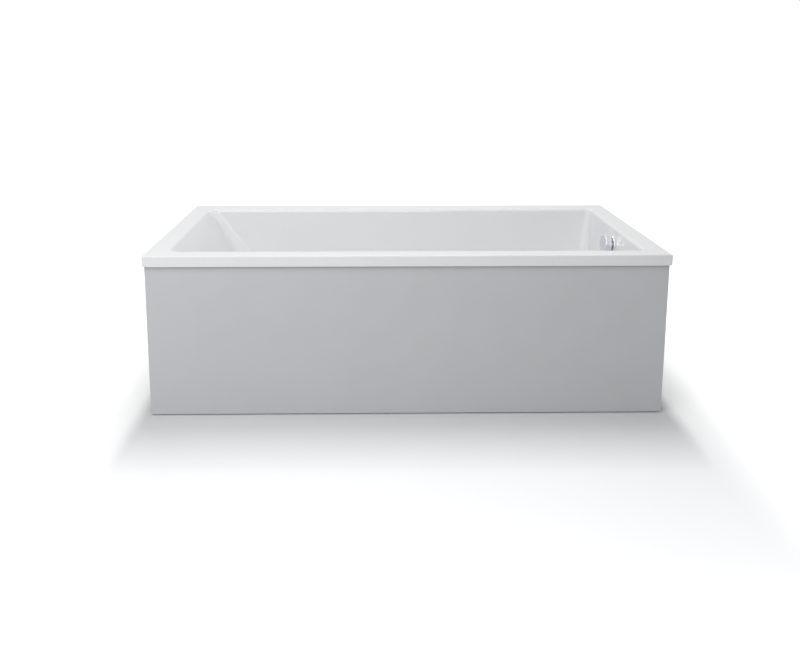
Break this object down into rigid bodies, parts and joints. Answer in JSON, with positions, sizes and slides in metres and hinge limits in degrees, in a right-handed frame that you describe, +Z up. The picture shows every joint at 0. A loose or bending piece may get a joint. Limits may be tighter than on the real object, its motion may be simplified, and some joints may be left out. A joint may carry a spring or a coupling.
{
  "type": "alcove bathtub",
  "caption": "Rectangular alcove bathtub with a sloped backrest, a flat front panel, a turning overflow control that lifts the waste plug, and levelling feet.",
  "frame": {"origin": "centre of the bath's footprint on the floor", "axes": "+X towards the foot end with the overflow and waste, -X the backrest; -Y the front panel, +Y the wall; +Z up"},
  "size_m": [1.7, 0.75, 0.545],
  "materials": {
    "white_acrylic": "gloss",
    "grey_panel": "satin",
    "chipboard": "matte",
    "softwood": "matte",
    "galvanised_steel": "satin",
    "zinc_screw": "satin",
    "black_moulding": "matte",
    "white_moulding": "satin",
    "grey_moulding": "satin",
    "chrome": "polished",
    "brass": "satin",
    "black_rubber": "matte"
  },
  "bodies": {
    "bath": {"tub_shell": "white_acrylic", "base_board": "chipboard", "rim_batten_front": "softwood", "rim_batten_back": "softwood", "rim_batten_head": "softwood", "rim_batten_foot": "softwood", "leg_rail_head": "galvanised_steel", "leg_rail_foot": "galvanised_steel", "rail_screws": "zinc_screw", "lock_nuts": "zinc_screw", "apron_panel": "grey_panel", "panel_stiffeners": "softwood", "panel_clips": "galvanised_steel", "clip_screws": "zinc_screw", "panel_brackets": "galvanised_steel", "bracket_screws": "zinc_screw", "wall_anchors": "galvanised_steel", "anchor_screws": "zinc_screw", "overflow_rosette": "chrome", "overflow_screws": "zinc_screw", "overflow_gasket": "black_rubber", "overflow_body": "white_moulding", "overflow_pipe": "grey_moulding", "pipe_nut_top": "white_moulding", "pipe_nut_bottom": "white_moulding", "bowden_cable": "black_moulding", "drain_flange": "chrome", "drain_gasket_top": "black_rubber", "drain_gasket_low": "black_rubber", "drain_body": "white_moulding", "lever_pin": "zinc_screw", "trap_washer": "black_rubber", "trap_nut": "white_moulding", "trap_body": "white_moulding"},
    "knob": {"overflow_knob": "chrome", "overflow_spindle": "brass"},
    "plug": {"drain_plug": "chrome", "plug_seal": "black_rubber", "plug_stem": "brass"},
    "lever": {"lift_lever": "brass"},
    "foot_head_front": {"stud_head_front": "zinc_screw", "pad_head_front": "black_moulding"},
    "foot_head_back": {"stud_head_back": "zinc_screw", "pad_head_back": "black_moulding"},
    "foot_foot_front": {"stud_foot_front": "zinc_screw", "pad_foot_front": "black_moulding"},
    "foot_foot_back": {"stud_foot_back": "zinc_screw", "pad_foot_back": "black_moulding"}
  },
  "joints": [
    {"name": "knob_turn", "type": "hinge", "parent": "bath", "child": "knob", "pos_m": [0.77304, -0.008, 0.476], "axis": [-0.9945, 0, 0.1045], "range_deg": [0, 90]},
    {"name": "plug_lift", "type": "slide", "parent": "bath", "child": "plug", "axis": [0, 0, 1], "range_m": [0, 0.01]},
    {"name": "lever_turn", "type": "hinge", "parent": "bath", "child": "lever", "pos_m": [0.59, 0.026, 0.05525], "axis": [-1, 0, 0], "range_deg": [0, 17.5]},
    {"name": "foot_head_front_level", "type": "slide", "parent": "bath", "child": "foot_head_front", "axis": [0, 0, 1], "range_m": [-0.02, 0.02]},
    {"name": "foot_head_back_level", "type": "slide", "parent": "bath", "child": "foot_head_back", "axis": [0, 0, 1], "range_m": [-0.02, 0.02]},
    {"name": "foot_foot_front_level", "type": "slide", "parent": "bath", "child": "foot_foot_front", "axis": [0, 0, 1], "range_m": [-0.02, 0.02]},
    {"name": "foot_foot_back_level", "type": "slide", "parent": "bath", "child": "foot_foot_back", "axis": [0, 0, 1], "range_m": [-0.02, 0.02]}
  ],
  "couplings": [
    {"joint": "plug_lift", "follows": "knob_turn", "m_per_rad": 0.0063662},
    {"joint": "lever_turn", "follows": "knob_turn", "ratio": 0.19444}
  ]
}
